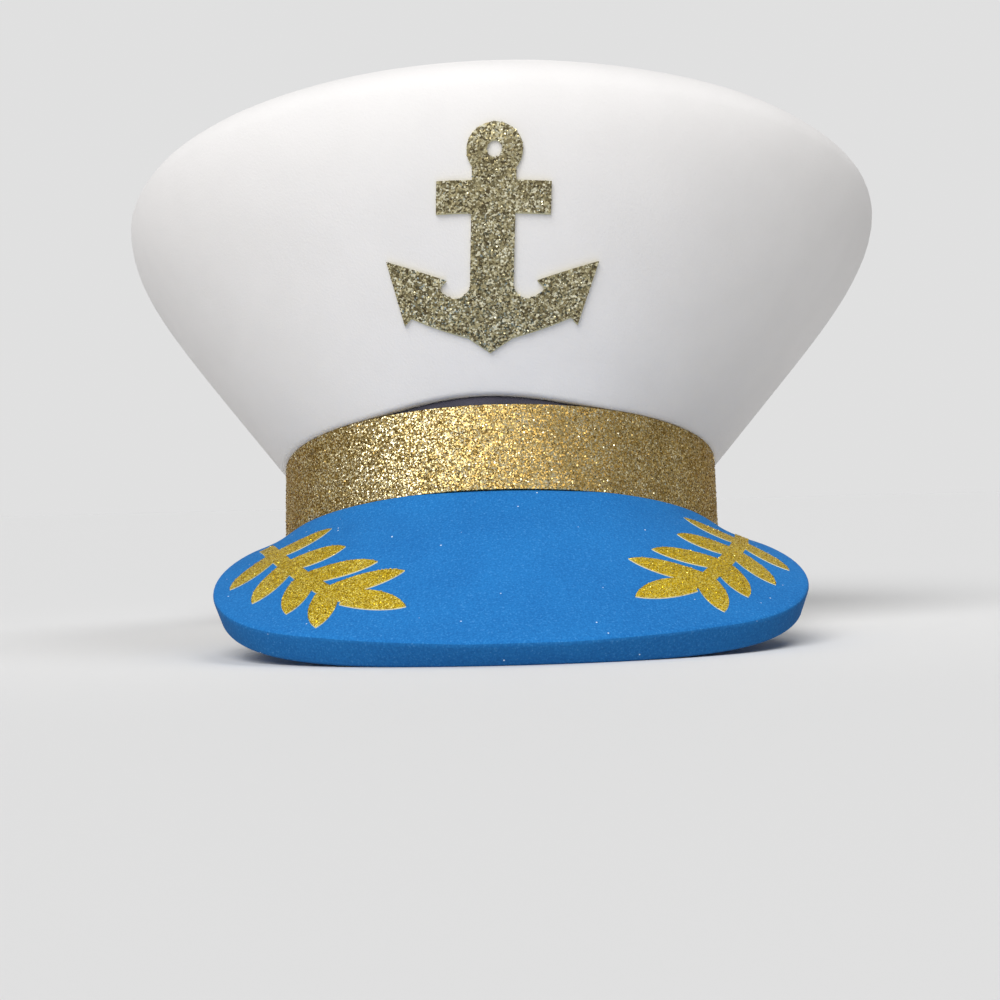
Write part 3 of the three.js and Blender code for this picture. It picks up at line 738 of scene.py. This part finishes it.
# Leaf branches: one on each side of the visor, cut from thin yellow-gold glitter foam and glued on. Four pairs of
# leaves and a last one grow from a stem that starts at the visor's back. Places are shares of the visor's half
# spread and of its length, and a leaf's edge runs through shares of its length and width.
LEAF_FOOT = (0, 0.4)
LEAF_RISE = (0.42, 0.6)
LEAF_FALL = (0.8, 0.42)
STEM_WIDTH = 0.0066
STEM_TAIL = 0.6
LEAF_STEPS = 14
BRANCH_GRID = (150, 40)
BRANCH_REACH = 0.97
YELLOW_GRAIN = 0.00045
LEAF_PLATES = 5000
LEAF_PLATE_SIZE = 0.00022
LEAF_SEED = 13
BRANCH_PLACING = {
    "left": {"side": -1, "turned": math.radians(0.9), "inner_drop": 0.02, "drop": 0},
    "right": {"side": 1, "turned": math.radians(0.7), "inner_drop": 0, "drop": -0.026},
}
LEAF_PAIRS = (
    {"stem": (0.731, 0.43), "inner": (0.577, 0.145), "outer": (0.735, 0.82), "widths": (0.0148, 0.0138)},
    {"stem": (0.628, 0.49), "inner": (0.472, 0.315), "outer": (0.627, 0.815), "widths": (0.0144, 0.0138)},
    {"stem": (0.536, 0.575), "inner": (0.353, 0.44), "outer": (0.518, 0.835), "widths": (0.0126, 0.0136)},
    {"stem": (0.449, 0.67), "inner": (0.274, 0.51), "outer": (0.431, 0.905), "widths": (0.0124, 0.013)},
)
STEM_FOOT = (0.85, 0.44)
LAST_LEAF = {"stem": (0.397, 0.7), "tip": (0.249, 0.765), "width": 0.0128}


def leaf_outline(base, tip, up, width):
    """Two curved edges, broad at the stem and pointed at the tip."""
    along = tip - base
    across = up.cross(along).normalized() * width
    edges = []
    for side in (-1, 1):
        foot, rise, fall = (
            base + along * share + across * side * out for share, out in (LEAF_FOOT, LEAF_RISE, LEAF_FALL)
        )
        edges.append(geometry.interpolate_bezier(foot, rise, fall, tip, LEAF_STEPS))
    return [*edges[0], *edges[1][-2::-1]]


def stem_outline(places):
    """A strip of even width along the stem's points."""
    left, right = [], []
    for i, (point, up) in enumerate(places):
        onward = places[min(i + 1, len(places) - 1)][0] - places[max(i - 1, 0)][0]
        across = up.cross(onward).normalized() * STEM_WIDTH / 2
        left.append(point + across)
        right.append(point - across)
    return left + right[::-1]


def branch_die(side, turned, inner_drop, drop):
    """The whole branch as one die. Side is 1 towards +X."""

    def place(turn_share, down):
        line = VisorLine(side * VISOR_SPREAD * turn_share + turned)
        return line.at(line.length * (down + drop), 0), line.up

    def flat(outline):
        return punch([Vector((p.x, p.y, -0.2)) for p in outline], (0, 0, 0.4))

    stem = [place(*STEM_FOOT), *(place(*pair["stem"]) for pair in LEAF_PAIRS), place(*LAST_LEAF["stem"])]
    beyond = (stem[-1][0].lerp(stem[-2][0], -STEM_TAIL), stem[-1][1])
    die = flat(stem_outline([*stem, beyond]))
    leaves = [(pair["widths"][1], pair["stem"], pair["outer"]) for pair in LEAF_PAIRS]
    leaves.append((LAST_LEAF["width"], LAST_LEAF["stem"], LAST_LEAF["tip"]))
    for pair in LEAF_PAIRS:
        turn_share, down = pair["inner"]
        leaves.append((pair["widths"][0], pair["stem"], (turn_share, down + inner_drop)))
    for width, base, tip in leaves:
        start, up = place(*base)
        combined(die, flat(leaf_outline(start, place(*tip)[0], up, width)), "UNION")
    return die


def visor_face(across, along):
    """A place on the visor's top, the glue line above it."""
    line = VisorLine(VISOR_SPREAD * BRANCH_REACH * (2 * across - 1))
    return line.at((line.length - VISOR_EDGE) * along, -GLUE_GAP)


YELLOW_GOLD_TONES = ("#A98A0F", "#B99914", "#CAAB1B", "#DCC030", "#FBEE84")
yellow_gold = glitter_material("yellow gold glitter", YELLOW_GOLD_TONES, YELLOW_GRAIN, metal=0.35, tilt=0.6)
yellow_gold_flakes = flake_material("yellow gold plates", YELLOW_GOLD_TONES)

for name, placing in BRANCH_PLACING.items():
    branch = moved_grid(f"gold_leaf_branch_{name}", *BRANCH_GRID, visor_face)
    thickened(branch, TRIM_FOAM)
    cut_trim(branch, branch_die(**placing), yellow_gold, bare_foam, 2)
    branch_front = [f.index for f in branch.data.polygons if f.material_index == 0 and f.normal.z > 0]
    laid_down(branch, yellow_gold, f"leaf_branch_{name}")
    glitter_on(
        branch,
        f"leaf_plates_{name}",
        LEAF_PLATES,
        LEAF_PLATE_SIZE,
        branch_front,
        yellow_gold_flakes,
        LEAF_SEED,
    )

# The plain pale floor that the hat lies on, and soft studio light: a wide key from the upper left in front, a weak
# light from above on the right, and a pale room that is brighter behind the hat than in front of it.
FLOOR_SIZE = 60
FLOOR_LEVEL = -0.0004
KEY_LIGHT = {"turn": math.radians(-16), "rise": math.radians(38), "spread": math.radians(40), "energy": 2.8}
TOP_LIGHT = {"turn": math.radians(70), "rise": math.radians(70), "spread": math.radians(30), "energy": 0.6}
LIGHT_DISTANCE = 3
ROOM_FRONT = 0.17
ROOM_BACK = 0.747
GLOW_FROM, GLOW_TO = 0.45, 0.95

floor_finish = new_material(
    "pale floor", Base_Color=colour("#E5E5E5"), Roughness=0.9, Specular_IOR_Level=0.1
)[0]
bpy.ops.object.select_all(action="DESELECT")
bpy.ops.mesh.primitive_plane_add(size=FLOOR_SIZE, location=(0, 0, FLOOR_LEVEL))
floor = bpy.context.active_object
floor.name = "floor"
floor.data.materials.append(floor_finish)


def wide_light(name, turn, rise, spread, energy):
    """A wide, far light. Turn 0 is in front of the hat, and positive towards +X."""
    towards = Vector((math.sin(turn) * math.cos(rise), -math.cos(turn) * math.cos(rise), math.sin(rise)))
    bpy.ops.object.light_add(type="SUN", location=towards * LIGHT_DISTANCE)
    light = bpy.context.active_object
    light.name = name
    light.data.energy = energy
    light.data.angle = spread
    light.rotation_euler = towards.to_track_quat("Z", "Y").to_euler()


wide_light("key light", **KEY_LIGHT)
wide_light("top light", **TOP_LIGHT)

room = bpy.data.worlds.new("pale room")
bpy.context.scene.world = room
room.use_nodes = True
background = room.node_tree.nodes["Background"]
background.inputs["Color"].default_value = (1, 1, 1, 1)
heading = add_node(room, "SeparateXYZ", {"Vector": add_node(room, "TexCoord").outputs["Generated"]})
glow = add_node(
    room,
    "MapRange",
    {
        "Value": heading.outputs["Y"],
        "From Min": GLOW_FROM,
        "From Max": GLOW_TO,
        "To Min": ROOM_FRONT,
        "To Max": ROOM_BACK,
    },
    interpolation_type="SMOOTHSTEP",
)
room.node_tree.links.new(glow.outputs[0], background.inputs["Strength"])
bpy.context.scene.view_settings.view_transform = "Standard"
